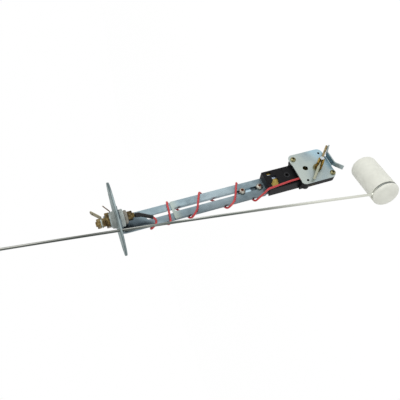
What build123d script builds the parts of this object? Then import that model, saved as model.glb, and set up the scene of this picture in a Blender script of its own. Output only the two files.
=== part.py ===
from build123d import *
import math
import os

# Fuel level sender: flange on top, slotted brackets and sensor hanging below.
# Millimetres. Origin on the flange's seating face, on its axis. +Z points out
# of the tank. The sensor's cover faces -Y, and the brackets hang along -Z.

# driving dimensions
flange_d = 68.3
flange_t = 2.0
rim_margin = 7.15
bolt_hole_d = 5.4
bolt_turn = 34.0
sheet_t = 1.8
strip_w = 19.5
strip_front = 10.95
strip_gap = 0.05
slot_w = 4.4
stud_d = 5.0
ground_x = 10.2
ground_y = 8.6
upper_start = 51.6
sensor_mid = 200.0
neck_run = 51.0
rod_d = 2.4
float_d = 25.7
float_l = 48.0
ring_r = 11.6
wire_d = 2.2
plate_left = 18.4
plate_right = 19.2
plate_half = 19.3
plate_t = 1.2
plate_face = 3.7
pivot_x = -3.0
pivot_drop = 5.5
pin_face = 9.0
pin_low_d = 2.8
pin_top_d = 2.4

# worked out from them
strip_back = strip_front + sheet_t
upper_front = strip_front - strip_gap - sheet_t
stack_bore = stud_d / 2 + 0.1
bolt_circle_d = flange_d - 2 * rim_margin
neck_end = sensor_mid - neck_run
lower_end = neck_end - 0.5
upper_end = sensor_mid - 22.0
screw_depths = (neck_end - 24.8, neck_end - 6.0)
rivet_depths = (neck_end + 7.0, neck_end + 23.4)
plate_top = sensor_mid - plate_half
plate_bottom = sensor_mid + plate_half
pivot_depth = sensor_mid + pivot_drop

os.makedirs("parts", exist_ok=True)


def disc_z(radius, low, high, x=0.0, y=0.0, bore=0.0):
    """A round piece on an upright axis between two heights."""
    place = Pos(x, y, low)
    body = place * Cylinder(radius, high - low, align=(Align.CENTER, Align.CENTER, Align.MIN))
    if bore > 0:
        hole = Pos(x, y, low - 1) * Cylinder(bore, high - low + 2, align=(Align.CENTER, Align.CENTER, Align.MIN))
        body = body - hole
    return body


def disc_y(radius, front, back, x, z, bore=0.0):
    """A round piece on an axis along Y between two faces."""
    turn = Pos(x, front, z) * Rot(-90, 0, 0)
    body = turn * Cylinder(radius, back - front, align=(Align.CENTER, Align.CENTER, Align.MIN))
    if bore > 0:
        hole = turn * Pos(0, 0, -1) * Cylinder(bore, back - front + 2, align=(Align.CENTER, Align.CENTER, Align.MIN))
        body = body - hole
    return body


def block(x0, x1, y0, y1, z0, z1):
    """A box between six faces."""
    size = Box(x1 - x0, y1 - y0, z1 - z0, align=(Align.MIN, Align.MIN, Align.MIN))
    return Pos(x0, y0, z0) * size


def turned_z(profile, x=0.0, y=0.0):
    """A turned piece on an upright axis, from its outline as radius and height."""
    outline = Polyline(*[(r, 0, z) for r, z in profile], close=True)
    return Pos(x, y, 0) * revolve(make_face(outline), Axis.Z)


def turned_y(profile, x, z):
    """A turned piece on an axis along Y, from its outline as radius and Y."""
    outline = Polyline(*[(r, y, 0) for r, y in profile], close=True)
    return Pos(x, 0, z) * revolve(make_face(outline), Axis.Y)


def domed_head(radius, front, back, x, z):
    """A pan head that faces -Y, its dome turned in three steps."""
    deep = back - front
    profile = (
        (0, front),
        (radius * 0.45, front + deep * 0.05),
        (radius * 0.78, front + deep * 0.24),
        (radius * 0.95, front + deep * 0.5),
        (radius, front + deep * 0.78),
        (radius, back),
        (0, back),
    )
    return turned_y(profile, x, z)


def hex_z(across, low, high, bore, x=0.0, y=0.0, turn=0.0):
    """A hexagon nut on an upright axis, its corners turned off."""
    flat = Pos(x, y, low) * Rot(0, 0, turn) * extrude(RegularPolygon(across / math.sqrt(3), 6), high - low)
    cone = disc_z(across * 0.56, low, high, x, y)
    cone = chamfer(cone.edges().filter_by(GeomType.CIRCLE), 0.4)
    return (flat & cone) - disc_z(bore, low - 1, high + 1, x, y)


def hex_y(across, front, back, bore, x, z):
    """A hexagon nut on an axis along Y."""
    turn = Pos(x, front, z) * Rot(-90, 0, 0)
    flat = turn * extrude(RegularPolygon(across / math.sqrt(3), 6), back - front)
    return flat - disc_y(bore, front - 1, back + 1, x, z)


def sheet_xz(outline, front, back):
    """A flat piece cut to an outline in X and Z, between two Y faces."""
    plane = Plane(origin=(0, front, 0), x_dir=(1, 0, 0), z_dir=(0, 1, 0))
    # local y of this plane runs along -Z, so depths go in as they are
    face = make_face(Polyline(*outline, close=True))
    return extrude(plane * face, back - front)


def slot_cut(x_mid, width, top, bottom, front, back):
    """A long hole with round ends, cut through along Y."""
    half = width / 2
    cut = block(x_mid - half, x_mid + half, front, back, -bottom + half, -top - half)
    cut = cut + disc_y(half, front, back, x_mid, -top - half)
    return cut + disc_y(half, front, back, x_mid, -bottom + half)


def cross_recess(radius, front, depth, x, z, turn=0.0):
    """A cross recess cut into a screw head that faces -Y."""
    bar = Box(radius * 1.5, depth * 2, radius * 0.34)
    wide = Box(radius * 0.34, depth * 2, radius * 1.5)
    return Pos(x, front, z) * Rot(0, turn, 0) * (bar + wide)


# flange, its five bolt holes and the holes for both terminals
def make_flange_plate():
    plate = disc_z(flange_d / 2, 0, flange_t)
    plate = chamfer(plate.edges().filter_by(GeomType.CIRCLE), 0.25)
    for k in range(5):
        angle = math.radians(bolt_turn + 72 * k)
        x = -bolt_circle_d / 2 * math.cos(angle)
        y = -bolt_circle_d / 2 * math.sin(angle)
        plate = plate - disc_z(bolt_hole_d / 2, -1, flange_t + 1, x, y)
    plate = plate - disc_z(4.3, -1, flange_t + 1)
    return plate - disc_z(2.05, -1, flange_t + 1, ground_x, ground_y)


# lower bracket: a foot under the flange, one bend, then a slotted strip
def make_lower_bracket():
    bend = 3.0
    foot_front = -8.5
    outline = make_face(
        Polyline(
            (foot_front, 0),
            (strip_back, 0),
            (strip_back, -lower_end),
            (strip_front, -lower_end),
            (strip_front, -sheet_t),
            (foot_front, -sheet_t),
            close=True,
        )
    )
    plane = Plane(origin=(-strip_w / 2, 0, 0), x_dir=(0, 1, 0), z_dir=(1, 0, 0))
    body = extrude(plane * outline, strip_w)
    long_edges = body.edges().filter_by(Axis.X)
    inner = long_edges.sort_by_distance((0, strip_front, -sheet_t))[0]
    body = fillet(inner, bend)
    long_edges = body.edges().filter_by(Axis.X)
    outer = long_edges.sort_by_distance((0, strip_back, 0))[0]
    body = fillet(outer, bend + sheet_t)
    corners = body.edges().filter_by(Axis.Y).group_by(Axis.Z)[0]
    body = fillet(corners, 3.0)
    toes = body.edges().filter_by(Axis.Z).group_by(Axis.Y)[0]
    body = fillet(toes, 2.5)
    body = body - disc_z(4.3, -sheet_t - 1, 1)
    body = body - slot_cut(0, slot_w, 26.4, screw_depths[0] - 5.7, strip_front - 1, strip_back + 1)
    for depth in screw_depths:
        body = body - disc_y(2.1, strip_front - 1, strip_back + 1, 0, -depth)
    return body


# upper bracket: the slotted strip that carries the sensor
def make_upper_bracket():
    back = upper_front + sheet_t
    body = block(-strip_w / 2, strip_w / 2, upper_front, back, -upper_end, -upper_start)
    ends = body.edges().filter_by(Axis.Y).group_by(Axis.Z)[-1]
    body = fillet(ends, 1.2)
    body = body - slot_cut(0, slot_w, upper_start + 2.4, screw_depths[1] + 3.6, upper_front - 1, back + 1)
    for depth in rivet_depths:
        body = body - disc_y(1.3, upper_front - 1, back + 1, 0, -depth)
    return body


# signal terminal: one stud through both sheets, insulated on both sides
def make_signal_stud():
    stud = disc_z(stud_d / 2, -15.2, 20.0)
    return chamfer(stud.edges().filter_by(GeomType.CIRCLE), 0.5)


def make_outer_insulator():
    body = disc_z(8.2, flange_t, 4.1) + disc_z(7.7, 4.1, 6.2) + disc_z(4.2, 0.15, flange_t)
    body = body - disc_z(stack_bore, -1, 8)
    rims = body.edges().filter_by(GeomType.CIRCLE).filter_by_position(Axis.Z, 3.9, 6.3)
    rims = rims.filter_by(lambda edge: edge.radius > 7)
    return chamfer(rims.sort_by(Axis.Z)[-1], 0.5)


def make_inner_insulator():
    body = disc_z(8.2, -5.6, -sheet_t) + disc_z(4.2, -sheet_t, -0.15)
    body = body - disc_z(stack_bore, -7, 1)
    rims = body.edges().filter_by(GeomType.CIRCLE).filter_by(lambda edge: edge.radius > 7)
    return chamfer(rims, 0.6)


def make_inner_washer():
    profile = ((0, -8.8), (5.4, -8.8), (6.1, -8.4), (6.4, -7.6), (6.4, -6.8), (6.1, -6.0), (5.4, -5.6), (0, -5.6))
    return turned_z(profile) - disc_z(stack_bore, -10, -4)


# blade terminal with its ring round a stud and a blade bent up and outward
def make_tab(x, y, seat, turn, reach, rise):
    thick = 0.8
    ring = disc_z(4.6, 0, thick)
    neck = block(3.0, 5.6, -1.7, 1.7, 0, thick)
    knee = 5.6
    blade = block(0, reach, -2.6, 2.6, 0, thick)
    tip = blade.edges().filter_by(Axis.Z).group_by(Axis.X)[-1]
    blade = chamfer(tip, 1.1)
    blade = blade - disc_z(0.9, -1, thick + 1, reach - 3.2, 0)
    blade = Pos(knee - 0.25, 0, 0) * Rot(0, -rise, 0) * blade
    body = ring + neck + blade - disc_z(stack_bore if seat > 10 else 2.1, -1, thick + 1)
    return Pos(x, y, seat) * Rot(0, 0, turn) * body


def make_ground_stud():
    shank = disc_z(2.0, 0.05, 12.2, ground_x, ground_y)
    collar = disc_z(3.2, flange_t, 3.6, ground_x, ground_y)
    return shank + collar


def make_ground_washer():
    return disc_z(4.5, 3.6, 4.8, ground_x, ground_y, 2.1)


# split ring washer, one end lifted a little less than its neighbour
def make_lock_washer(radius, low, high, bore, x=0.0, y=0.0):
    ring = disc_z(radius, low, high, x, y, bore)
    gap = Pos(x + (radius + bore) / 2, y, (low + high) / 2) * Rot(20, 0, 0) * Box(radius, 0.6, 4)
    return ring - gap


# black sleeve shrunk over the stud's end and the start of the wire
def make_heat_shrink():
    route = FilletPolyline(
        (-0.3, 0.6, -15.9),
        (-0.4, 1.6, -19.9),
        (-1.4, 3.4, -24.2),
        (-5.2, 4.6, -31.6),
        radius=(3.0, 4.0),
    )
    start = Plane(origin=route @ 0, z_dir=route % 0)
    sleeve = sweep(start * Circle(1.75), path=route)
    barrel = start * Cylinder(2.25, 4.3, align=(Align.CENTER, Align.CENTER, Align.MIN))
    return sleeve + barrel


# the red signal wire, wound loosely round the brackets down to the sensor
def corner_radii(points, largest):
    """The widest bend that each corner of a route has room for, up to the largest."""
    radii = []
    for k in range(1, len(points) - 1):
        back = Vector(*points[k]) - Vector(*points[k - 1])
        ahead = Vector(*points[k + 1]) - Vector(*points[k])
        room = 0.46 * min(back.length, ahead.length)
        turn = math.radians(back.get_angle(ahead))
        radii.append(min(largest, room / math.tan(turn / 2)))
    return radii


def make_signal_wire():
    stretch = (sensor_mid - 40) / 160
    drawn = (
        (-5.65, 4.8, -32.3),
        (-8.2, 8.2, -34.0),
        (-11.9, 9.8, -30.4),
        (-11.6, 14.4, -26.4),
        (-6.2, 14.8, -30.4),
        (-6.4, 14.8, -40.6),
        (-11.9, 14.2, -45.0),
        (-11.7, 9.1, -46.6),
        (0.0, 9.1, -48.2),
        (11.4, 9.1, -49.4),
        (11.9, 14.7, -50.8),
        (3.0, 14.8, -57.4),
        (-8.2, 14.8, -65.0),
        (-11.9, 13.2, -66.8),
        (-12.0, 7.9, -70.0),
        (-7.0, 7.2, -74.6),
        (0.6, 7.2, -78.0),
        (10.6, 7.2, -82.4),
        (12.6, 11.2, -84.6),
        (10.4, 14.8, -87.2),
        (2.4, 14.8, -94.0),
        (-8.0, 14.8, -102.6),
        (-11.9, 13.2, -104.2),
        (-12.0, 8.2, -108.6),
        (-8.2, 7.2, -112.8),
        (0.0, 7.2, -117.2),
        (10.6, 7.2, -122.2),
        (12.5, 11.0, -123.8),
        (10.8, 14.8, -125.6),
        (3.4, 14.9, -129.2),
        (-7.8, 14.8, -132.8),
        (-12.2, 13.4, -134.0),
        (-12.5, 7.8, -137.8),
        (-12.4, 2.4, -142.2),
        (-10.9, -0.6, -146.4),
        (-9.9, -0.6, -158.0),
        (-8.7, -0.7, -172.0),
        (-8.3, -0.6, -187.6),
    )
    points = [(x, y, z if z > -40 else -40 + (z + 40) * stretch) for x, y, z in drawn]
    route = FilletPolyline(*points, radius=corner_radii(points, 6.0))
    start = Plane(origin=route @ 0, z_dir=route % 0)
    section = RegularPolygon(wire_d / 2 * 1.054, 8)
    return sweep(start * section, path=route)


# spare float arm: a slightly bowed rod that ends in a ring round the float
ring_x = -bolt_circle_d / 2 * math.cos(math.radians(bolt_turn)) - 35.07
ring_y = -bolt_circle_d / 2 * math.sin(math.radians(bolt_turn))
ring_z = -243.0
arm_slope = 8.95
arm_end = 355.0
bow_r = 9865.0
float_tilt = 14.4
ring_stop = 58.0


def ring_frame():
    """Plane of the ring: its x runs along the rod, its normal is the float's axis."""
    slope = math.radians(arm_slope)
    tilt = math.radians(float_tilt)
    along = Vector(-math.sin(slope), 0, -math.cos(slope))
    side = Vector(-math.cos(slope), 0, math.sin(slope))
    axis = side * math.cos(tilt) + Vector(0, -1, 0) * math.sin(tilt)
    return Plane(origin=(ring_x, ring_y, ring_z), x_dir=along, z_dir=axis)


def make_float_arm():
    frame = ring_frame()
    kink = 3.0
    kink_x = -math.sqrt(ring_r**2 + 2 * ring_r * kink)
    lean = math.atan2(-kink_x, kink)
    start = (kink_x, 0)
    middle = (kink_x + kink * math.sin(lean / 2), kink - kink * math.cos(lean / 2))
    touch = (ring_r * kink_x / (ring_r + kink), ring_r * kink / (ring_r + kink))
    far = (ring_r, 0)
    end = (-ring_r * math.cos(math.radians(ring_stop)), -ring_r * math.sin(math.radians(ring_stop)))
    bend = ThreePointArc(
        frame.from_local_coords((start[0], start[1], 0)),
        frame.from_local_coords((middle[0], middle[1], 0)),
        frame.from_local_coords((touch[0], touch[1], 0)),
    )
    ring = ThreePointArc(
        frame.from_local_coords((touch[0], touch[1], 0)),
        frame.from_local_coords((far[0], far[1], 0)),
        frame.from_local_coords((end[0], end[1], 0)),
    )
    tip = frame.from_local_coords((kink_x, 0, 0))
    along = frame.x_dir
    side = Vector(along.Z, 0, -along.X)
    run = arm_end + kink_x
    far_end = tip - along * run + side * (run**2 / (2 * bow_r))
    mid_rod = tip - along * (run / 2) + side * ((run / 2) ** 2 / (2 * bow_r))
    rod = ThreePointArc(far_end, mid_rod, tip)
    route = rod + bend + ring
    start_plane = Plane(origin=far_end, z_dir=rod % 0)
    return sweep(start_plane * Circle(rod_d / 2), path=route)


def make_float():
    near = 4.2
    far = near - float_l
    radius = float_d / 2
    root = ring_r - rod_d / 2 - 0.1
    half = rod_d / 2 + 0.1
    profile = (
        (0, near + 0.2),
        (radius - 4.6, near),
        (radius - 2.0, near - 0.5),
        (radius - 0.7, near - 1.2),
        (radius, near - 2.3),
        (radius, half),
        (root, half),
        (root, -half),
        (radius, -half),
        (radius, far + 3.4),
        (radius - 0.5, far + 1.6),
        (radius - 1.6, far + 0.5),
        (radius - 3.2, far),
        (0, far),
    )
    return ring_frame() * turned_z(profile)


# screws and nuts that clamp the two brackets together
def make_adjuster_screws():
    solids = []
    for depth in screw_depths:
        head = domed_head(3.5, upper_front - 3.1, upper_front - 0.05, 0, -depth)
        head = head - cross_recess(2.0, upper_front - 3.1, 1.4, 0, -depth, 20)
        solids.append(head + disc_y(2.0, upper_front - 0.1, strip_back + 4.2, 0, -depth))
    return Compound(children=solids)


def make_adjuster_nuts():
    solids = []
    for depth in screw_depths:
        solids.append(hex_y(7.0, strip_back, strip_back + 3.2, 2.05, 0, -depth))
    return Compound(children=solids)


# black moulded housing: a neck astride the strip and a square box with a round well
well_r = 15.6
well_floor = 2.4
neck_top = 1.0
box_top = sensor_mid - 18.0
box_bottom = sensor_mid + 19.0


def make_sensor_housing():
    neck = block(-11.2, 11.2, neck_top, 12.2, -box_top - 2, -neck_end)
    rims = neck.edges().filter_by(Axis.Z).group_by(Axis.Y)[0]
    neck = chamfer(rims, 0.6)
    end_rim = neck.edges().filter_by(Axis.X).group_by(Axis.Z)[-1].sort_by(Axis.Y)[0]
    neck = chamfer(end_rim, 0.6)
    upper = block(-18.0, 18.4, -2.5, 4.0, -box_bottom, -box_top)
    upper = fillet(upper.edges().filter_by(Axis.Y), 4.6)
    lower = block(-13.9, 14.6, 4.0, 11.0, -box_bottom + 2.5, -box_top)
    body = neck + upper + lower
    for x, depth in ((-13.7, sensor_mid - 13.6), (13.6, sensor_mid + 14.0)):
        body = body + disc_y(4.4, -2.4, 6.4, x, -depth)
    low_boss = disc_y(3.2, neck_top - 0.25, neck_top + 1, -1.4, -neck_end - 3.6)
    ring_boss = disc_y(2.8, neck_top - 0.3, neck_top + 1, 0.5, -neck_end - 23.4)
    rib = block(2.6, 9.4, neck_top - 0.2, neck_top + 1, -neck_end - 21.9, -neck_end - 21.2)
    body = body + low_boss + ring_boss + rib
    body = body - block(-9.95, 9.95, upper_front, 14, -upper_end - 0.3, -neck_end + 1)
    body = body - disc_y(well_r, -4, well_floor, 0, -sensor_mid)
    body = body - disc_y(2.05, 0, upper_front + 4, pivot_x, -pivot_depth)
    body = body - block(-9.9, -6.7, -3, neck_top, -box_top - 7, -box_top + 1)
    drawn = (
        (4.4, 7.2),
        (3.4, 12.3),
        (-1.5, 12.7),
        (-5.8, 11.6),
        (-8.5, 9.2),
        (-8.6, 3.9),
        (-4.9, 3.3),
        (-1.4, 7.0),
    )
    window = [(x, neck_end + down) for x, down in drawn]
    body = body - sheet_xz(window, -1, 4.4)
    body = body - block(5.2, 8.8, -1, 4.4, -neck_end - 8.6, -neck_end - 3.8)
    body = body - block(-9.0, 9.3, 2.8, 4.4, -neck_end - 13, -neck_end - 3)
    body = body - disc_y(1.3, -1, 3.2, 0.5, -neck_end - 23.4)
    for depth in rivet_depths:
        body = body - disc_y(1.25, 4.0, 12, 0, -depth)
    for x, depth in cover_spots():
        body = body - disc_y(1.5, -3, 6.5, x, -depth)
    for x, depth in hole_spots():
        body = body - disc_y(1.4, -3, 3.0, x, -depth)
    return body - block(-19, -10, well_floor - 1.5, well_floor, -sensor_mid + 5.2, -sensor_mid + 11.0)


def cover_spots():
    """Places of the two cover screws: opposite corners of the box."""
    return ((13.3, sensor_mid - 15.2), (-13.9, sensor_mid + 15.9))


def hole_spots():
    """Places of the two small holes in the other corners."""
    return ((-14.9, sensor_mid - 12.8), (13.5, sensor_mid + 14.4))


# mustard card and bright clip in the neck's pocket
def make_insulating_card():
    return block(-8.8, 9.1, 3.4, 4.4, -neck_end - 12.8, -neck_end - 3.2)


def make_contact_clip():
    return block(1.2, 6.9, 2.8, 3.4, -neck_end - 12.8, -neck_end - 3.4)


def make_housing_rivets():
    solids = []
    back = upper_front + sheet_t
    for depth in rivet_depths:
        shank = disc_y(1.2, 4.6, back, 0, -depth)
        profile = ((0, back), (2.6, back), (2.6, back + 0.5), (1.9, back + 1.0), (0, back + 1.2))
        solids.append(shank + turned_y(profile, 0, -depth))
    return Compound(children=solids)


# zinc cover folded from one sheet: rounded plate, upright stop and two flared wings
stop_x = 1.3
stop_half = 7.6
wing_reach = 10.2
wing_flare = 40.5
wing_bend = 3.0
stop_top = 9.4
stop_inner = plate_bottom + 0.6


def stop_line(inset, bend):
    """One face of the stop and its wings in X and depth, that far behind the front face."""
    flare = math.radians(wing_flare)
    corner = stop_half - inset * math.tan(flare / 2)
    reach = wing_reach
    out_x = stop_half + reach * math.cos(flare) - inset * math.sin(flare)
    out_depth = stop_inner + reach * math.sin(flare) + inset * math.cos(flare)
    return FilletPolyline(
        (stop_x - out_x, out_depth),
        (stop_x - corner, stop_inner + inset),
        (stop_x + corner, stop_inner + inset),
        (stop_x + out_x, out_depth),
        radius=bend,
    )


def make_cover_plate():
    plate = block(
        -plate_left, plate_right, -plate_face, -plate_face + plate_t, -plate_bottom + 0.3, -plate_top
    )
    plate = fillet(plate.edges().filter_by(Axis.Y).group_by(Axis.Z)[-1], 4.6)
    plate = fillet(plate.edges().filter_by(Axis.Y).group_by(Axis.Z)[0], 5.6)
    bend_r = 0.8
    wall_half = stop_half - 1.4
    shelf = block(
        stop_x - wall_half,
        stop_x + wall_half,
        -plate_face,
        -plate_face + plate_t,
        -stop_inner + bend_r,
        -plate_bottom + 4,
    )
    turn = Pos(stop_x - wall_half, -plate_face - bend_r, -stop_inner + bend_r) * Rot(0, 90, 0)
    knee = turn * Cylinder(bend_r + plate_t, 2 * wall_half, align=(Align.CENTER, Align.CENTER, Align.MIN))
    knee = knee - turn * Cylinder(bend_r, 2 * wall_half, align=(Align.CENTER, Align.CENTER, Align.MIN))
    low = -stop_inner - plate_t - 1
    keep = block(-40, 40, -plate_face - bend_r, -plate_face + plate_t, low, -stop_inner + bend_r)
    front = stop_line(0, wing_bend + plate_t)
    back = stop_line(plate_t, wing_bend)
    near_end = Line(front @ 0, back @ 0)
    far_end = Line(front @ 1, back @ 1)
    section = make_face(front + back + near_end + far_end)
    plane = Plane(origin=(0, -stop_top, 0), x_dir=(1, 0, 0), z_dir=(0, 1, 0))
    stop = extrude(plane * section, stop_top - plate_face - bend_r)
    body = plate + shelf + (knee & keep) + stop
    body = body - disc_y(3.1, -8, 0, pivot_x, -pivot_depth)
    body = body - disc_y(2.8, -8, 0, -0.4, -sensor_mid + 8.2)
    for x, depth in cover_spots():
        body = body - disc_y(1.65, -8, 0, x, -depth)
    for x, depth in hole_spots():
        body = body - disc_y(1.3, -8, 0, x, -depth)
    return body


def make_cover_screws():
    solids = []
    for x, depth in cover_spots():
        head = domed_head(2.8, -plate_face - 2.1, -plate_face, x, -depth)
        head = head - cross_recess(1.8, -plate_face - 2.1, 1.2, x, -depth, 30)
        solids.append(head + disc_y(1.4, -plate_face, 5.5, x, -depth))
    return Compound(children=solids)


# resistor card, its winding and the wiper that sweeps it
def make_resistor_card():
    card = disc_y(well_r - 0.1, well_floor - 1.4, well_floor, 0, -sensor_mid)
    tab = block(-18.1, -12.0, well_floor - 1.4, well_floor - 0.6, -sensor_mid + 5.5, -sensor_mid + 10.7)
    return card + tab - disc_y(2.6, 0, 6, pivot_x, -pivot_depth)


def make_resistor_winding():
    top = well_floor - 2.2
    outer = disc_y(10.2, top, well_floor - 1.4, pivot_x, -pivot_depth, 7.6)
    keep = block(-12, pivot_x + 9.5, top - 1, well_floor, -pivot_depth - 0.5, -pivot_depth + 12)
    return outer & keep


def make_wiper_arm():
    hub = disc_y(3.6, -0.9, -0.2, pivot_x, -pivot_depth, 2.02)
    arm = block(-1.3, 1.3, -0.9, -0.2, 3.0, 9.1)
    finger = disc_y(0.7, -0.2, 0.1, 0, 8.3)
    return hub + Pos(pivot_x, 0, -pivot_depth) * Rot(0, -20, 0) * (arm + finger)


def make_pivot_bush():
    flange = disc_y(4.4, -plate_face - 1.2, -plate_face, pivot_x - 0.5, -pivot_depth + 1.8)
    sleeve = disc_y(3.05, -plate_face, -1.6, pivot_x, -pivot_depth)
    return flange + sleeve - disc_y(2.05, -8, 2, pivot_x, -pivot_depth)


def make_pivot_shaft():
    return disc_y(2.0, -7.0, 6.6, pivot_x, -pivot_depth)


# brass clamp, the stepped rod it holds and its grub screw, all lying at one angle
rod_turn = 44.4
clamp_low = 5.1
clamp_high = 11.5
grub_x = 5.2


def on_pivot(shape):
    """Lay a piece modelled along +X over the pivot at the rod's angle."""
    return Pos(pivot_x, 0, -pivot_depth) * Rot(0, rod_turn, 0) * shape


def make_arm_clamp():
    base = block(-3.6, 6.8, -pin_face + 1.4, -clamp_low, -3.2, 3.2)
    walls = block(-2.2, 5.6, -clamp_high, -clamp_low, -3.2, 3.2)
    walls = chamfer(walls.edges().filter_by(Axis.X).group_by(Axis.Y)[0], 0.7)
    body = base + walls
    body = body - block(-9, 9, -clamp_high - 1, -pin_face + 1.45, -1.55, 1.55)
    body = body - disc_y(2.15, -clamp_high - 1, -pin_face - pin_top_d / 2 + 0.2, grub_x, 0)
    body = body - disc_y(2.02, -7.05, 0, 0, 0)
    return on_pivot(body)


def make_holder_pin():
    stages = (
        (-20.8, 0.6, pin_low_d / 2),
        (0.6, 3.0, pin_top_d / 2 - 0.2),
        (3.0, 26.4, pin_top_d / 2),
    )
    pin = Part()
    for start, end, radius in stages:
        length = end - start
        rod = Cylinder(radius, length, align=(Align.CENTER, Align.CENTER, Align.MIN))
        pin = pin + Pos(start, -pin_face, 0) * Rot(0, 90, 0) * rod
    return on_pivot(pin)


def make_clamp_screw():
    seat = -pin_face - pin_top_d / 2
    grub = disc_y(2.1, seat - 2.0, seat, grub_x, 0)
    grub = grub - Pos(grub_x, seat - 2.0, 0) * Box(5, 1.4, 0.7)
    return on_pivot(grub)


parts = {
    "flange_plate": make_flange_plate(),
    "lower_bracket": make_lower_bracket(),
    "outer_insulator": make_outer_insulator(),
    "signal_washer": disc_z(6.5, 6.2, 7.2, bore=stack_bore),
    "signal_lock_nut": hex_z(11.0, 7.2, 11.0, stack_bore, turn=12),
    "signal_jam_nut": hex_z(7.6, 11.0, 13.6, stack_bore, turn=5),
    "signal_tab": make_tab(0, 0, 13.6, 0, 12.5, 42),
    "signal_lock_washer": make_lock_washer(4.2, 14.4, 15.3, stack_bore),
    "signal_nut": hex_z(8.0, 15.3, 18.9, stack_bore, turn=20),
    "signal_stud": make_signal_stud(),
    "inner_insulator": make_inner_insulator(),
    "inner_washer": make_inner_washer(),
    "inner_nut": hex_z(8.0, -13.5, -8.8, stack_bore, turn=18),
    "heat_shrink": make_heat_shrink(),
    "ground_stud": make_ground_stud(),
    "ground_washer": make_ground_washer(),
    "ground_tab": make_tab(ground_x, ground_y, 4.8, -30, 8.0, 38),
    "ground_lock_washer": make_lock_washer(4.1, 5.6, 6.6, 2.1, ground_x, ground_y),
    "ground_nut": hex_z(8.0, 6.6, 10.6, 2.1, ground_x, ground_y, 10),
    "float_arm": make_float_arm(),
    "float": make_float(),
    "adjuster_screws": make_adjuster_screws(),
    "adjuster_nuts": make_adjuster_nuts(),
    "upper_bracket": make_upper_bracket(),
    "sensor_housing": make_sensor_housing(),
    "insulating_card": make_insulating_card(),
    "contact_clip": make_contact_clip(),
    "housing_rivets": make_housing_rivets(),
    "cover_plate": make_cover_plate(),
    "cover_screws": make_cover_screws(),
    "pivot_bush": make_pivot_bush(),
    "pivot_shaft": make_pivot_shaft(),
    "wiper_arm": make_wiper_arm(),
    "resistor_card": make_resistor_card(),
    "resistor_winding": make_resistor_winding(),
    "arm_clamp": make_arm_clamp(),
    "clamp_screw": make_clamp_screw(),
    "holder_pin": make_holder_pin(),
    "signal_wire": make_signal_wire(),
}

for name, shape in parts.items():
    export_step(shape, "parts/" + name + ".step")
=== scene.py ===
import math
import bmesh
import bpy
from mathutils import Matrix, Vector


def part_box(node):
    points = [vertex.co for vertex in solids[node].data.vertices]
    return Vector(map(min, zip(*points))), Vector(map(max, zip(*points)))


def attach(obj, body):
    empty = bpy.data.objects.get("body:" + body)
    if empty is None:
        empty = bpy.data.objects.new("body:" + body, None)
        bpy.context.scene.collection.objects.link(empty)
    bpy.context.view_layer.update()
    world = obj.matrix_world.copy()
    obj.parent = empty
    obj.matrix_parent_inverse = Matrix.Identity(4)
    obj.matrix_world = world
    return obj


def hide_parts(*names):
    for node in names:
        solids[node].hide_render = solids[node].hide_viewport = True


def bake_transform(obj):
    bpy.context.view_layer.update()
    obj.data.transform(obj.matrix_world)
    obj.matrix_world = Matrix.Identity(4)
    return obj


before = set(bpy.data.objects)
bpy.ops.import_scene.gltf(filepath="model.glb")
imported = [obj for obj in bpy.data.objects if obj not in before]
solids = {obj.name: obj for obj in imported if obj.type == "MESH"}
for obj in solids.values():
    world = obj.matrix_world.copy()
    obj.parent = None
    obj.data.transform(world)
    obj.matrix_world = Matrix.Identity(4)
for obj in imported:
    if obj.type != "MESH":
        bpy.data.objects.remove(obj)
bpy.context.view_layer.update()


# The flange is a disc of 2 mm cold-rolled steel, punched and then zinc plated.
# The plating is bright with a faint cloudiness a few millimetres across, and
# fine drawing lines from the roll show on it.
def tone(code):
    """sRGB hex colour as linear values."""
    values = [int(code[i : i + 2], 16) / 255 for i in (1, 3, 5)]
    linear = [v / 12.92 if v <= 0.04045 else ((v + 0.055) / 1.055) ** 2.4 for v in values]
    return (*linear, 1.0)


def add(tree, kind, settings, links=None):
    """A new node with its settings, and its inputs joined to other nodes' outputs.

    A key is an input's name or place, or else one of the node's own properties.
    """
    node = tree.nodes.new(kind)
    for key, value in settings.items():
        if isinstance(key, int) or key in node.inputs:
            node.inputs[key].default_value = value
        else:
            setattr(node, key, value)
    for key, source in (links or {}).items():
        tree.links.new(source, node.inputs[key])
    return node


def blank(name, shader):
    """A node material that has only its main shader."""
    material = bpy.data.materials.new(name)
    material.use_nodes = True
    tree = material.node_tree
    tree.nodes.clear()
    surface = add(tree, "ShaderNodeBsdfPrincipled", shader)
    add(tree, "ShaderNodeOutputMaterial", {}, {"Surface": surface.outputs["BSDF"]})
    return material, tree


def mottle(tree, noise, place, stops):
    """Colour the surface by a noise, through (share, hex colour) stops, and give the noise."""
    patches = add(tree, "ShaderNodeTexNoise", noise, {"Vector": place}).outputs["Fac"]
    ramp = add(tree, "ShaderNodeValToRGB", {}, {"Fac": patches})
    colours = ramp.color_ramp.elements
    colours.remove(colours[1])
    colours[0].position = stops[0][0]
    colours[0].color = tone(stops[0][1])
    for share, code in stops[1:]:
        colours.new(share).color = tone(code)
    tree.links.new(ramp.outputs["Color"], tree.nodes["Principled BSDF"].inputs["Base Color"])
    return patches


def wear(tree, share, low, high, rough, rougher):
    """Go from one roughness to the other as a share rises from low to high."""
    spread = {"From Min": low, "From Max": high, "To Min": rough, "To Max": rougher}
    result = add(tree, "ShaderNodeMapRange", spread, {"Value": share}).outputs["Result"]
    tree.links.new(result, tree.nodes["Principled BSDF"].inputs["Roughness"])


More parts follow.
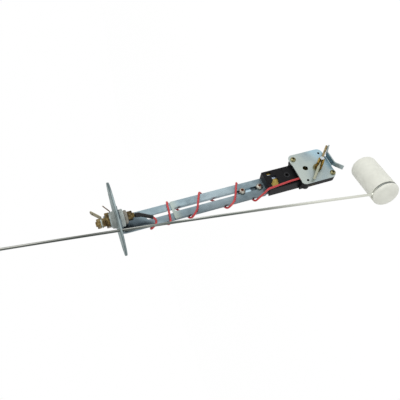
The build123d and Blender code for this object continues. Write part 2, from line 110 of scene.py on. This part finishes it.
def relief(tree, noise, place, strength, height):
    """Raise the surface a little, by a height in metres, where the noise is high."""
    grain = add(tree, "ShaderNodeTexNoise", noise, {"Vector": place}).outputs["Fac"]
    bump = add(tree, "ShaderNodeBump", {"Strength": strength, "Distance": height}, {"Height": grain})
    tree.links.new(bump.outputs["Normal"], tree.nodes["Principled BSDF"].inputs["Normal"])


def zinc_plate(name, dark, light, grain_mm, rough):
    """Zinc-plated sheet: clouded plating over fine rolling lines."""
    roll_mm = 0.5
    line_shape = (1.0, 1.0, 0.04)
    material, tree = blank(name, {"Metallic": 1.0})
    place = add(tree, "ShaderNodeTexCoord", {}).outputs["Object"]
    grain = {"Scale": 1000 / grain_mm, "Detail": 3.0, "Roughness": 0.55}
    clouds = mottle(tree, grain, place, ((0.3, dark), (0.7, light)))
    wear(tree, clouds, 0.25, 0.75, rough - 0.06, rough + 0.08)
    # each line is 25 times as long as it is wide
    drawn_out = add(tree, "ShaderNodeMapping", {"Scale": line_shape}, {"Vector": place}).outputs["Vector"]
    relief(tree, {"Scale": 1000 / roll_mm, "Detail": 1.0}, drawn_out, 0.05, 0.00005)
    return material


def tint(material, code, *shares):
    """Blend a material's colour towards another by a share, or by the product of several."""
    tree = material.node_tree
    colour = tree.nodes["Principled BSDF"].inputs["Base Color"]
    share = shares[0]
    for other in shares[1:]:
        share = add(tree, "ShaderNodeMath", {"operation": "MULTIPLY"}, {0: share, 1: other}).outputs[0]
    blend = {"data_type": "RGBA", 7: tone(code)}
    mix = add(tree, "ShaderNodeMix", blend, {0: share, 6: colour.links[0].from_socket})
    tree.links.new(mix.outputs[2], colour)


def fade(material, way, start, end, most, by="Object", curve="SMOOTHSTEP"):
    """A share that rises along a direction, from none at start to the most at end.

    Start and end are in metres, or parts of 1 where it goes by the normal.
    """
    tree = material.node_tree
    place = add(tree, "ShaderNodeTexCoord", {}).outputs[by]
    along = add(tree, "ShaderNodeVectorMath", {"operation": "DOT_PRODUCT", 1: way}, {0: place})
    rise = {"interpolation_type": curve, "From Min": start, "From Max": end, "To Min": 0.0, "To Max": most}
    return add(tree, "ShaderNodeMapRange", rise, {"Value": along.outputs["Value"]}).outputs["Result"]


def dress(material, *names):
    """Give the solids of these names the finish."""
    for name in names:
        mesh = solids[name].data
        mesh.materials.clear()
        mesh.materials.append(material)


up = (0.0, 0.0, 1.0)
flange_finish = zinc_plate("zinc_plated_flange", "#7d8a8a", "#a2adac", 9.0, 0.42)
# a dulled plating does not turn white at a grazing angle
flange_surface = flange_finish.node_tree.nodes["Principled BSDF"]
flange_surface.inputs["Specular Tint"].default_value = tone("#bbc2c2")
# painted shade: the rim and the inner face are greyer than the outer one
tint(flange_finish, "#66757a", fade(flange_finish, up, 0.8, 0.3, 0.35, "Normal"))
# painted shade: the punched rim is painted dark along its outer corner
rim = fade(flange_finish, up, 0.9, 0.5, 1.0, "Normal")
tint(flange_finish, "#333c3e", rim, fade(flange_finish, up, 0.0012, 0.0016, 0.75))
dress(flange_finish, "flange_plate")


# Both brackets are strips of 1.8 mm steel with a long slot, zinc plated like
# the flange but a little bluer. The lower one is folded once to make its foot,
# and shade is painted dark into its plating on the inside of the fold.
def strip_plate(name):
    """The strips' plating, bluish."""
    return zinc_plate(name, "#74848b", "#93a5ac", 7.0, 0.36)


# directions as seen from the cover's side, with the flange on top
down = (0.0, 0.0, -1.0)
right = (1.0, 0.0, 0.0)
left = (-1.0, 0.0, 0.0)
up_left = (-0.8, 0.0, 1.0)
side_shade = "#566166"
patch_half = 0.0036
patch_soft = 0.0006

lower_finish = strip_plate("zinc_plated_folded_strip")
# painted shade: the strip is darker along its left side
tint(lower_finish, side_shade, fade(lower_finish, left, -0.004, 0.0095, 0.7))
# painted shade: it darkens towards the fold, and a painted shadow darkens it more above a slanting line that
# is lowest on the left
tint(lower_finish, "#67777d", fade(lower_finish, up, -0.06, -0.035, 0.3))
tint(lower_finish, "#39434a", fade(lower_finish, up_left, -0.033, -0.016, 0.84))
# the fold's left edge catches the light
edge = fade(lower_finish, left, 0.0055, 0.0085, 0.6)
tint(lower_finish, "#8b9ca3", edge, fade(lower_finish, up, -0.045, -0.033, 1.0))
# what shows of it through the upper strip's slot has a bright painted reflection, then painted shade
patch = [fade(lower_finish, way, -patch_half, patch_soft - patch_half, 1.0) for way in (right, left)]
for start, end, code in ((0.1262, 0.1272, "#c4dce8"), (0.1335, 0.1350, "#2a3136")):
    tint(lower_finish, code, *patch, fade(lower_finish, down, start, end, 0.85))
dress(lower_finish, "lower_bracket")

upper_finish = strip_plate("zinc_plated_strip")
# painted light: it is a little brighter just above the screws
above_screws = fade(upper_finish, up, -0.124, -0.108, 1.0)
tint(upper_finish, "#c0d0d6", fade(upper_finish, down, 0.07, 0.092, 0.32), above_screws)
# painted shade: it too is darker along its left side
tint(upper_finish, side_shade, fade(upper_finish, left, -0.004, 0.0095, 0.6))
# its upper end is yellowish
tint(upper_finish, "#b0b6a4", fade(upper_finish, up, -0.061, -0.052, 0.45))
dress(upper_finish, "upper_bracket")


# The insulating washers are moulded from grey-white filled nylon, matt, with
# a slight speckle. The one inside the tank has a thick beige fibre washer on it.
def moulded(name, dark, light, speck_mm, rough, pit=0.05, shine=0.4):
    """Matt moulded plastic: an even colour with a fine speckle and a slight skin."""
    skin_mm = 0.7143
    material, tree = blank(name, {"Roughness": rough, "Specular IOR Level": shine})
    place = add(tree, "ShaderNodeTexCoord", {}).outputs["Object"]
    mottle(tree, {"Scale": 1000 / speck_mm, "Detail": 4.0}, place, ((0.3, dark), (0.7, light)))
    relief(tree, {"Scale": 1000 / skin_mm, "Detail": 2.0}, place, pit, 0.0001)
    return material


dress(moulded("filled_nylon_outside", "#8f9591", "#a2a8a4", 4.0, 0.6, 0.015), "outer_insulator")
dress(moulded("filled_nylon_inside", "#b2bbb7", "#c5cdc9", 4.0, 0.6, 0.015), "inner_insulator")
dress(moulded("pressed_fibre", "#87847b", "#a5a196", 1.6, 0.75, 0.15), "inner_washer")


# The nuts are turned from brass bar, dulled to a brown with brighter flats.
# The outermost nut of each terminal is lighter than the others.
def brass(name, dark, middle, light):
    """Dull turned brass: brown in patches, brighter and smoother where it is rubbed."""
    patch_mm = 2.381
    material, tree = blank(name, {"Metallic": 1.0})
    place = add(tree, "ShaderNodeTexCoord", {}).outputs["Object"]
    noise = {"Scale": 1000 / patch_mm, "Detail": 4.0, "Roughness": 0.65}
    patches = mottle(tree, noise, place, ((0.28, dark), (0.5, middle), (0.74, light)))
    wear(tree, patches, 0.3, 0.7, 0.46, 0.3)
    return material


nut_brass = brass("dulled_brass", "#2e2619", "#4c402a", "#87774f")
dress(nut_brass, "signal_lock_nut", "signal_jam_nut", "inner_nut")
dress(brass("rubbed_brass", "#473b26", "#6b5c3c", "#a6976b"), "signal_nut", "ground_nut")


# Both studs carry a rolled thread. The signal stud is brass, and the ground
# stud is plated steel with a collar that stands on the flange.
def place_mesh(name, work, material, body, stands_for):
    """A finished mesh in place of a solid, riding on a body if one is given."""
    mesh = bpy.data.meshes.new(name)
    work.to_mesh(mesh)
    work.free()
    mesh.materials.append(material)
    item = bpy.data.objects.new(name, mesh)
    bpy.context.scene.collection.objects.link(item)
    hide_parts(stands_for)
    if body:
        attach(item, body)
    return item


def rings_to_faces(work, rings):
    """Skin a row of vertex rings, and close both ends."""
    sides = len(rings[0])
    for near, far in zip(rings, rings[1:]):
        for k in range(sides):
            after = (k + 1) % sides
            face = work.faces.new((near[k], near[after], far[after], far[k]))
            face.smooth = True
    work.faces.new(list(reversed(rings[0])))
    work.faces.new(rings[-1])
    bmesh.ops.recalc_face_normals(work, faces=work.faces)


stud_sides = 32


def thread_rings(work, centre, radius, low, high, pitch, depth):
    """Rings up an axis whose radius follows a helical thread."""
    chamfer = 0.0005
    rows_per_turn = 8
    steps = int((high - low) / pitch * rows_per_turn)
    rings = []
    for row in range(steps + 1):
        height = low + (high - low) * row / steps
        edge = min(height - low, high - height, chamfer)
        ring = []
        for k in range(stud_sides):
            share = (height / pitch - k / stud_sides) % 1.0
            cut = depth * (1 - abs(2 * share - 1))
            reach = min(radius - cut, radius - chamfer + edge)
            angle = math.tau * k / stud_sides
            spot = (centre[0] + reach * math.cos(angle), centre[1] + reach * math.sin(angle), height)
            ring.append(work.verts.new(spot))
        rings.append(ring)
    return rings


def turned(profile, centre, axis, outward, sides):
    """A turned solid: (reach, height) points spun once round an axis."""
    touching = 0.000005
    sharp_angle = 0.7
    work = bmesh.new()
    points = [work.verts.new(centre + axis * height + outward * reach) for reach, height in profile]
    edges = [work.edges.new(pair) for pair in zip(points, points[1:])]
    bmesh.ops.spin(
        work, geom=points + edges, cent=centre, axis=axis, angle=math.tau, steps=sides, use_merge=True
    )
    bmesh.ops.remove_doubles(work, verts=work.verts, dist=touching)
    bmesh.ops.recalc_face_normals(work, faces=work.faces)
    for face in work.faces:
        face.smooth = True
    for edge in work.edges:
        if len(edge.link_faces) == 2 and edge.calc_face_angle() > sharp_angle:
            edge.smooth = False
    return work


signal_r = 0.0025
signal_pitch = 0.0008
signal_depth = 0.0003
stud_low, stud_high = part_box("signal_stud")
work = bmesh.new()
rings = thread_rings(work, (0.0, 0.0), signal_r, stud_low.z, stud_high.z, signal_pitch, signal_depth)
rings_to_faces(work, rings)
stud_brass = brass("threaded_brass", "#4a3d26", "#7c6a40", "#ab9a68")
place_mesh("threaded_signal_stud", work, stud_brass, "root", "signal_stud")

shank_r = 0.002
ground_pitch = 0.0007
ground_depth = 0.00025
collar_low = 0.002
collar_high = 0.0036
collar_r = 0.0032
collar_edge = 0.0003
collar_foot = 0.0002
# the thread starts inside the collar
thread_start = collar_high - 0.0001
ground_low, ground_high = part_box("ground_stud")
ground_centre = ((ground_low.x + ground_high.x) / 2, (ground_low.y + ground_high.y) / 2)
shank = (
    (0.0, ground_low.z),
    (shank_r, ground_low.z),
    (shank_r, collar_low),
    (collar_r - collar_foot, collar_low),
    (collar_r, collar_low + collar_edge),
    (collar_r, collar_high - collar_edge),
    (collar_r - collar_edge, collar_high),
    (0.0, collar_high),
)
work = turned(shank, Vector((*ground_centre, 0.0)), Vector(up), Vector(right), stud_sides)
rings = thread_rings(work, ground_centre, shank_r, thread_start, ground_high.z, ground_pitch, ground_depth)
rings_to_faces(work, rings)
ground_zinc = zinc_plate("threaded_zinc", "#6a7579", "#a2adb0", 2.0, 0.34)
place_mesh("threaded_ground_stud", work, ground_zinc, "root", "ground_stud")


# Washers and blade terminals are stamped steel with a bright plating. It has
# tarnished on both blades, on the ground one to a brown that is also painted darker, as shade.
washer_finish = zinc_plate("zinc_plated_washer", "#6f7a7b", "#a3adab", 2.0, 0.34)
dress(washer_finish, "signal_washer", "signal_lock_washer", "ground_washer", "ground_lock_washer")
dress(zinc_plate("tarnished_terminal", "#645f4c", "#8e8970", 1.2, 0.4), "signal_tab")
dress(zinc_plate("brown_terminal", "#4c3a28", "#765f44", 2.0, 0.42), "ground_tab")


# A black plastic sleeve is shrunk over the crimped lug where the wire begins.
# It has a slight sheen.
dress(moulded("shrunk_sleeve", "#0d0d0f", "#19191c", 4.0, 0.38, 0.05, 0.3), "heat_shrink")


# The float arm is a zinc-plated spring wire, drawn smooth with faint die
# lines along it. Its end is bent to a ring that lies in the float's groove.
def tube_rings(work, line, radius, sides):
    """Rings of a round tube along a line of points, carried on without a twist."""
    rings = []
    ahead = (line[1] - line[0]).normalized()
    side = ahead.orthogonal().normalized()
    for k, point in enumerate(line):
        before = line[max(k - 1, 0)]
        after = line[min(k + 1, len(line) - 1)]
        turned_to = (after - before).normalized()
        side = (ahead.rotation_difference(turned_to) @ side).normalized()
        ahead = turned_to
        across = ahead.cross(side)
        ring = []
        for j in range(sides):
            angle = math.tau * j / sides
            ring.append(work.verts.new(point + (side * math.cos(angle) + across * math.sin(angle)) * radius))
        rings.append(ring)
    return rings


def wrap_uv(work, rings, line):
    """A map round and along a tube: u is the turn, v the millimetres."""
    layer = work.loops.layers.uv.new("along")
    way = [0.0]
    for before, after in zip(line, line[1:]):
        way.append(way[-1] + (after - before).length * 1000)
    place = {}
    sides = len(rings[0])
    for row, ring in enumerate(rings):
        for k, vert in enumerate(ring):
            place[vert] = (k / sides, way[row])
    for face in work.faces:
        turns = [place[loop.vert][0] for loop in face.loops]
        for loop in face.loops:
            turn, length = place[loop.vert]
            # the face that closes the circle ends at one whole turn
            if max(turns) - min(turns) > 0.5 and turn < 0.5:
                turn += 1.0
            loop[layer].uv = (turn, length)


def drawn_wire(name, dark, middle, light):
    """Drawn and plated wire: long lines from the die, lighter and darker, which also stand in for painted
    highlights and shade along it.
    """
    # a line changes about every 50 mm
    slowness = 0.012
    material, tree = blank(name, {"Metallic": 1.0, "Roughness": 0.3})
    place = add(tree, "ShaderNodeUVMap", {"uv_map": "along"}).outputs["UV"]
    part = add(tree, "ShaderNodeSeparateXYZ", {}, {"Vector": place}).outputs
    turn = add(tree, "ShaderNodeMath", {"operation": "MULTIPLY", 1: math.tau}, {0: part["X"]}).outputs[0]
    east = add(tree, "ShaderNodeMath", {"operation": "COSINE"}, {0: turn}).outputs[0]
    north = add(tree, "ShaderNodeMath", {"operation": "SINE"}, {0: turn}).outputs[0]
    slow = add(tree, "ShaderNodeMath", {"operation": "MULTIPLY", 1: slowness}, {0: part["Y"]}).outputs[0]
    spot = add(tree, "ShaderNodeCombineXYZ", {}, {"X": east, "Y": north, "Z": slow}).outputs["Vector"]
    mottle(tree, {"Scale": 1.6, "Detail": 2.0}, spot, ((0.36, dark), (0.5, middle), (0.62, light)))
    return material


arm_r = 0.0012
arm_sides = 24
ring_r = 0.0116
ring_centre = Vector((-0.057454, -0.015098, -0.243))
arm_slope = math.radians(8.95)
float_tilt = math.radians(14.4)
ring_stop = math.radians(58.0)
arm_length = 0.355
bow_r = 9.865
kink_r = 0.003
bow_steps = 60
kink_steps = 12
ring_steps = 72
rod_way = Vector((-math.sin(arm_slope), 0, -math.cos(arm_slope)))
float_side = Vector((-math.cos(arm_slope), 0, math.sin(arm_slope)))
float_axis = (float_side * math.cos(float_tilt) + Vector((0, -1, 0)) * math.sin(float_tilt)).normalized()
ring_up = float_axis.cross(rod_way).normalized()


def in_ring(x, y):
    """A point in the ring's plane, x along the rod."""
    return ring_centre + rod_way * x + ring_up * y


# the rod would run through the ring's centre, so a kink leads it out to the ring
kink_x = -math.sqrt(ring_r**2 + 2 * ring_r * kink_r)
run = arm_length + kink_x
rod_end = in_ring(kink_x, 0)
bow_side = Vector((rod_way.z, 0, -rod_way.x))
line = []
for k in range(bow_steps + 1):
    back = run * (1 - k / bow_steps)
    line.append(rod_end - rod_way * back + bow_side * (back**2 / (2 * bow_r)))
lean = math.atan2(-kink_x, kink_r)
for k in range(1, kink_steps + 1):
    angle = lean * k / kink_steps
    line.append(in_ring(kink_x + kink_r * math.sin(angle), kink_r - kink_r * math.cos(angle)))
# the ring starts where the kink ends and stops short of a full turn
first = math.atan2(ring_r * kink_r / (ring_r + kink_r), ring_r * kink_x / (ring_r + kink_r))
last = -math.pi + ring_stop
for k in range(1, ring_steps + 1):
    angle = first + (last - first) * k / ring_steps
    line.append(in_ring(ring_r * math.cos(angle), ring_r * math.sin(angle)))
work = bmesh.new()
rings = tube_rings(work, line, arm_r, arm_sides)
rings_to_faces(work, rings)
wrap_uv(work, rings, line)
arm_finish = drawn_wire("zinc_plated_wire", "#454c4a", "#959a94", "#e2e4dc")
# tarnished where it stands outside the flange
tint(arm_finish, "#55534f", fade(arm_finish, up, -0.05, 0.02, 0.6))
# painted shade: its left side is darker than the rest, and its right side a little
tint(arm_finish, "#3c423f", fade(arm_finish, (-1.0, -0.3, 0.0), 0.45, 0.8, 0.75, "Normal"))
tint(arm_finish, "#6c736f", fade(arm_finish, right, 0.75, 0.95, 0.35, "Normal"))
# painted light: all of it is brighter towards the float, and the ring itself is painted a darker grey
tint(arm_finish, "#eff0e4", fade(arm_finish, down, 0.09, 0.21, 0.65))
tint(arm_finish, "#5d6361", fade(arm_finish, down, 0.2305, 0.2345, 0.85))
place_mesh("drawn_float_arm", work, arm_finish, "root", "float_arm")


# The float is moulded from off-white closed foam with a smooth, matt skin.
# The arm's ring lies in a groove near its one end.
float_r = 0.01285
float_sides = 72
float_near = 0.0042
float_far = -0.0438
near_flat_r = 0.0075
near_crown = 0.0002
near_round = 0.0024
far_round_r = 0.0034
far_round = 0.0036
round_steps = 8
groove_half = 0.0013
groove_r = 0.0103
profile = [(0.0, float_near + near_crown)]
for k in range(1, round_steps + 1):
    angle = math.pi / 2 * k / round_steps
    reach = near_flat_r + (float_r - near_flat_r) * math.sin(angle)
    profile.append((reach, float_near - near_round * (1 - math.cos(angle))))
profile += [(float_r, groove_half), (groove_r, groove_half)]
profile += [(groove_r, -groove_half), (float_r, -groove_half)]
for k in range(round_steps + 1):
    angle = math.pi / 2 * k / round_steps
    reach = float_r - far_round_r * (1 - math.cos(angle))
    profile.append((reach, float_far + far_round * (1 - math.sin(angle))))
profile.append((0.0, float_far))
work = turned(profile, ring_centre, float_axis, rod_way, float_sides)
foam = moulded("float_foam", "#e8e9de", "#f3f4e9", 9.0, 0.5, 0.02)
place_mesh("moulded_float", work, foam, "float", "float")


# Screws and nuts that clamp the brackets are plain plated steel. The cross
# recess of each screw is browned inside.
def near_axes(material, axes, radius):
    """1 close to screw axes that run along Y, 0 elsewhere."""
    soft = 0.0002
    tree = material.node_tree
    place = add(tree, "ShaderNodeTexCoord", {}).outputs["Object"]
    part = add(tree, "ShaderNodeSeparateXYZ", {}, {"Vector": place}).outputs
    flat = add(tree, "ShaderNodeCombineXYZ", {}, {"X": part["X"], "Z": part["Z"]}).outputs["Vector"]
    nearest = None
    for x, z in axes:
        centre = {"operation": "DISTANCE", 1: (x, 0.0, z)}
        away = add(tree, "ShaderNodeVectorMath", centre, {0: flat}).outputs["Value"]
        if nearest is None:
            nearest = away
        else:
            nearest = add(tree, "ShaderNodeMath", {"operation": "MINIMUM"}, {0: nearest, 1: away}).outputs[0]
    edge = {"From Min": radius + soft, "From Max": radius - soft, "To Min": 0.0, "To Max": 1.0}
    return add(tree, "ShaderNodeMapRange", edge, {"Value": nearest}).outputs["Result"]


adjuster_axes = ((0.0, -0.1242), (0.0, -0.143))
adjuster_recess_r = 0.0015
adjuster_finish = zinc_plate("nickel_plated_screw", "#6f6e68", "#b9b7ac", 1.6, 0.28)
tint(adjuster_finish, "#6e3a26", near_axes(adjuster_finish, adjuster_axes, adjuster_recess_r))
dress(adjuster_finish, "adjuster_screws")
fastener_finish = zinc_plate("zinc_plated_fastener", "#84908f", "#b4bdbc", 2.5, 0.32)
dress(fastener_finish, "adjuster_nuts", "housing_rivets", "pivot_shaft")


# The sensor's housing is moulded in black nylon with a fine matt texture: a
# square box with a neck, on which a small round boss stands.
boss_axis = ((0.0005, -0.1724),)
boss_r = 0.003
boss_bore_r = 0.0023
black_nylon = moulded("black_nylon", "#0a0a0c", "#131316", 2.0, 0.45, 0.08, 0.13)
# painted highlight: the boss's rim is painted a lighter grey
discs = {0: near_axes(black_nylon, boss_axis, boss_r), 1: near_axes(black_nylon, boss_axis, boss_bore_r)}
boss_rim_highlight = add(black_nylon.node_tree, "ShaderNodeMath", {"operation": "SUBTRACT"}, discs).outputs[0]
tint(black_nylon, "#3a3b3d", boss_rim_highlight)
dress(black_nylon, "sensor_housing")


# Inside the neck's window lie a mustard insulating card and a bright clip.
# The resistor card, wound with resistance wire, is in the box, where the
# wiper slides over it.
dress(moulded("resin_card", "#9c8538", "#cbb156", 2.0, 0.55), "insulating_card")
dress(moulded("resistor_board", "#2a2412", "#5f5424", 2.0, 0.6), "resistor_card")
dress(zinc_plate("bright_clip", "#8c9cb0", "#bac8d8", 2.0, 0.25), "contact_clip", "wiper_arm")
dress(brass("resistance_wire", "#5a5546", "#7c7666", "#a49e8c"), "resistor_winding")


# The cover is one zinc-plated sheet: a plate with rounded corners, folded up
# at its end into the arm's stop, whose two ends flare out as wings.
cover_finish = zinc_plate("zinc_plated_cover", "#98a8ae", "#b0bcb9", 11.0, 0.4)
# painted light: the plate's upper part is paler
tint(cover_finish, "#bcc4bd", fade(cover_finish, up, -0.203, -0.184, 0.7))
# a painted bluish gleam lies along the plate's lower end, and the stop below it is painted greyer, as shade
above_stop = fade(cover_finish, up, -0.2194, -0.219, 1.0)
tint(cover_finish, "#a8cfe2", fade(cover_finish, (0.45, 0.0, -1.0), 0.2065, 0.2185, 0.6), above_stop)
tint(cover_finish, "#86908f", fade(cover_finish, down, 0.2192, 0.2196, 0.4))
# painted shade: the right part of the stop's upper face is darker still
stop = fade(cover_finish, down, 0.2190, 0.2194, 1.0)
right_part = fade(cover_finish, right, -0.0085, -0.004, 0.85)
upper_face = fade(cover_finish, up, 0.3, 0.7, 1.0, "Normal")
tint(cover_finish, "#52646a", stop, right_part, upper_face)
dress(cover_finish, "cover_plate")


# Cover screws and the shaft's bush are zinc plated and yellow passivated. The
# screws' cross recesses are brown inside.
def passivated(name, dark, middle, light):
    """Yellow passivated zinc: olive with lighter and darker patches."""
    patch_mm = 2.6316
    material, tree = blank(name, {"Metallic": 1.0, "Roughness": 0.34})
    place = add(tree, "ShaderNodeTexCoord", {}).outputs["Object"]
    noise = {"Scale": 1000 / patch_mm, "Detail": 3.0}
    mottle(tree, noise, place, ((0.3, dark), (0.5, middle), (0.72, light)))
    return material


cover_screw_axes = ((0.0133, -0.1848), (-0.0139, -0.2159))
cover_recess_r = 0.0011
cover_screw_finish = passivated("yellow_passivated_screw", "#4f4c33", "#7f7b57", "#c2bb96")
tint(cover_screw_finish, "#3b341f", near_axes(cover_screw_finish, cover_screw_axes, cover_recess_r))
dress(cover_screw_finish, "cover_screws")
dress(passivated("yellow_passivated_bush", "#5d5a40", "#7f7b5a", "#9b9775"), "pivot_bush")


# The clamp is milled from a brass bar. It holds a short rod, passivated to a
# tan on its thin end and worn silvery on its thick one, with a bright grub screw.
dress(brass("milled_brass", "#5b4520", "#927636", "#cdb468"), "arm_clamp")
dress(zinc_plate("bright_grub_screw", "#b3bcc0", "#dbe1e3", 1.5, 0.22), "clamp_screw")
pin_turn = math.radians(44.4)
pivot_x = -0.003
pivot_z = -0.2055
pin_way = (math.cos(pin_turn), 0.0, -math.sin(pin_turn))
pivot_along = pivot_x * pin_way[0] + pivot_z * pin_way[2]
pin_finish = passivated("tan_passivated_rod", "#6f5f42", "#94845e", "#b5a57c")
worn = fade(pin_finish, pin_way, pivot_along + 0.002, pivot_along - 0.001, 0.85, curve="LINEAR")
tint(pin_finish, "#adb2a0", worn)
dress(pin_finish, "holder_pin")


# The signal wire is stranded copper in red PVC, wound loosely round the two
# brackets, so that the real wire can follow when the depth is set. Here it is one fixed mesh that rides on no
# body.
wire_r = 0.00102
wire_sides = 20
widest_bend = 6.0
wire_step = 1.5
wire_route = (
    (-4.9, 4.5, -31.0),
    (-6.1, 5.3, -32.7),
    (-8.2, 8.2, -34.0),
    (-11.9, 9.8, -30.4),
    (-11.6, 14.4, -26.4),
    (-6.2, 14.8, -30.4),
    (-6.4, 14.8, -40.6),
    (-11.9, 14.2, -45.0),
    (-11.7, 9.1, -46.6),
    (0.0, 9.1, -48.2),
    (11.4, 9.1, -49.4),
    (11.9, 14.7, -50.8),
    (3.0, 14.8, -57.4),
    (-8.2, 14.8, -65.0),
    (-11.9, 13.2, -66.8),
    (-12.0, 7.9, -70.0),
    (-7.0, 7.2, -74.6),
    (0.6, 7.2, -78.0),
    (10.6, 7.2, -82.4),
    (12.6, 11.2, -84.6),
    (10.4, 14.8, -87.2),
    (2.4, 14.8, -94.0),
    (-8.0, 14.8, -102.6),
    (-11.9, 13.2, -104.2),
    (-12.0, 8.2, -108.6),
    (-8.2, 7.2, -112.8),
    (0.0, 7.2, -117.2),
    (10.6, 7.2, -122.2),
    (12.5, 11.0, -123.8),
    (10.8, 14.8, -125.6),
    (3.4, 14.9, -129.2),
    (-7.8, 14.8, -132.8),
    (-12.2, 13.4, -134.0),
    (-12.5, 7.8, -137.8),
    (-12.4, 2.4, -142.2),
    (-10.9, -0.6, -146.4),
    (-9.9, -0.6, -158.0),
    (-8.7, -0.7, -172.0),
    (-8.3, -0.6, -187.6),
)


def straight(line, end, step):
    """Go on to a point in even steps."""
    begin = line[-1]
    count = max(1, round((end - begin).length / step))
    for k in range(1, count + 1):
        line.append(begin + (end - begin) * (k / count))


def rounded(points, largest, step):
    """A line through corner points, its corners rounded as widely as there is room."""
    side_share = 0.46
    step_angle = 0.2
    corners = [Vector(point) for point in points]
    line = [corners[0]]
    for before, corner, after in zip(corners, corners[1:], corners[2:]):
        into = (corner - before).normalized()
        out = (after - corner).normalized()
        turn = into.angle(out)
        room = side_share * min((corner - before).length, (after - corner).length)
        radius = min(largest, room / math.tan(turn / 2))
        start = corner - into * (radius * math.tan(turn / 2))
        inward = (out - into * math.cos(turn)).normalized()
        straight(line, start, step)
        count = max(2, int(turn / step_angle))
        for k in range(1, count + 1):
            angle = turn * k / count
            line.append(start + into * (radius * math.sin(angle)) + inward * (radius * (1 - math.cos(angle))))
    straight(line, corners[-1], step)
    return line


line = [point / 1000 for point in rounded(wire_route, widest_bend, wire_step)]
work = bmesh.new()
rings_to_faces(work, tube_rings(work, line, wire_r, wire_sides))
red_pvc = moulded("red_pvc", "#b83539", "#cd4748", 6.0, 0.36, 0.02)
wire = place_mesh("wound_wire", work, red_pvc, None, "signal_wire")
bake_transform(wire)


# A sheet of white paper lies well below the part. It glows to the camera and
# in reflections, so that it runs on into the white surround, and keeps a part
# of the shadow.
def seen_by(tree, *kinds):
    """1 for rays of these kinds, 0 for all others."""
    rays = add(tree, "ShaderNodeLightPath", {}).outputs
    share = rays[kinds[0]]
    for kind in kinds[1:]:
        share = add(tree, "ShaderNodeMath", {"operation": "MAXIMUM"}, {0: share, 1: rays[kind]}).outputs[0]
    return share


floor_z = -0.42
floor_half = 3.0
floor_glow = 1.075
glow_share = 0.85
work = bmesh.new()
bmesh.ops.create_grid(work, x_segments=1, y_segments=1, size=floor_half)
bmesh.ops.translate(work, verts=work.verts, vec=(0, 0, floor_z))
floor_mesh = bpy.data.meshes.new("floor")
work.to_mesh(floor_mesh)
work.free()
floor = bpy.data.objects.new("floor", floor_mesh)
bpy.context.scene.collection.objects.link(floor)
paper, tree = blank("white_paper", {"Base Color": tone("#f3f3f3"), "Roughness": 0.9})
seen = seen_by(tree, "Is Camera Ray", "Is Glossy Ray")
share = add(tree, "ShaderNodeMath", {"operation": "MULTIPLY", 1: glow_share}, {0: seen}).outputs[0]
glow = add(tree, "ShaderNodeEmission", {"Color": tone("#ffffff"), "Strength": floor_glow})
parts = {0: share, 1: tree.nodes["Principled BSDF"].outputs["BSDF"], 2: glow.outputs["Emission"]}
lit_paper = add(tree, "ShaderNodeMixShader", {}, parts)
tree.links.new(lit_paper.outputs[0], tree.nodes["Material Output"].inputs["Surface"])
floor_mesh.materials.append(paper)

surround_light = 0.58
world = bpy.data.worlds.new("white_surround")
bpy.context.scene.world = world
world.use_nodes = True
tree = world.node_tree
tree.nodes.clear()
seen = seen_by(tree, "Is Camera Ray", "Is Glossy Ray", "Is Transmission Ray")
strength = add(tree, "ShaderNodeMapRange", {"To Min": surround_light, "To Max": 1.0}, {"Value": seen})
white = {"Color": tone("#ffffff")}
light = add(tree, "ShaderNodeBackground", white, {"Strength": strength.outputs["Result"]})
add(tree, "ShaderNodeOutputWorld", {}, {"Surface": light.outputs[0]})


# The camera stands where the photograph was taken, on the cover's side. Two
# large soft lamps light the part from that side.
lens_mm = 37.8
sensor_mm = 36.0
camera_place = Vector((-0.2112, -0.3249, 0.0166))
camera_right = Vector((-0.3390, -0.0567, -0.9391)).normalized()
camera_back = Vector((-0.5243, -0.8174, 0.2386)).normalized()
camera_up = camera_back.cross(camera_right).normalized()
camera_right = camera_up.cross(camera_back).normalized()
camera_data = bpy.data.cameras.new("camera")
camera_data.lens = lens_mm
camera_data.sensor_width = sensor_mm
camera_data.clip_start = 0.01
camera = bpy.data.objects.new("camera", camera_data)
turn = Matrix((camera_right, camera_up, camera_back)).transposed().to_4x4()
camera.matrix_world = Matrix.Translation(camera_place) @ turn
bpy.context.scene.collection.objects.link(camera)
bpy.context.scene.camera = camera


def lamp(name, place, aim, size, power):
    """A soft square lamp aimed at a point."""
    data = bpy.data.lights.new(name, "AREA")
    data.size = size
    data.energy = power
    item = bpy.data.objects.new(name, data)
    way = (Vector(place) - Vector(aim)).to_track_quat("Z", "Y")
    item.matrix_world = Matrix.Translation(place) @ way.to_matrix().to_4x4()
    bpy.context.scene.collection.objects.link(item)


middle = (0.0, 0.0, -0.1)
lamp_size = 1.1
lamp("key", (0.35, -0.9, 0.25), middle, lamp_size, 4.4)
lamp("fill", (-0.8, -0.5, -0.3), middle, lamp_size, 2.6)

bpy.context.scene.view_settings.view_transform = "Standard"
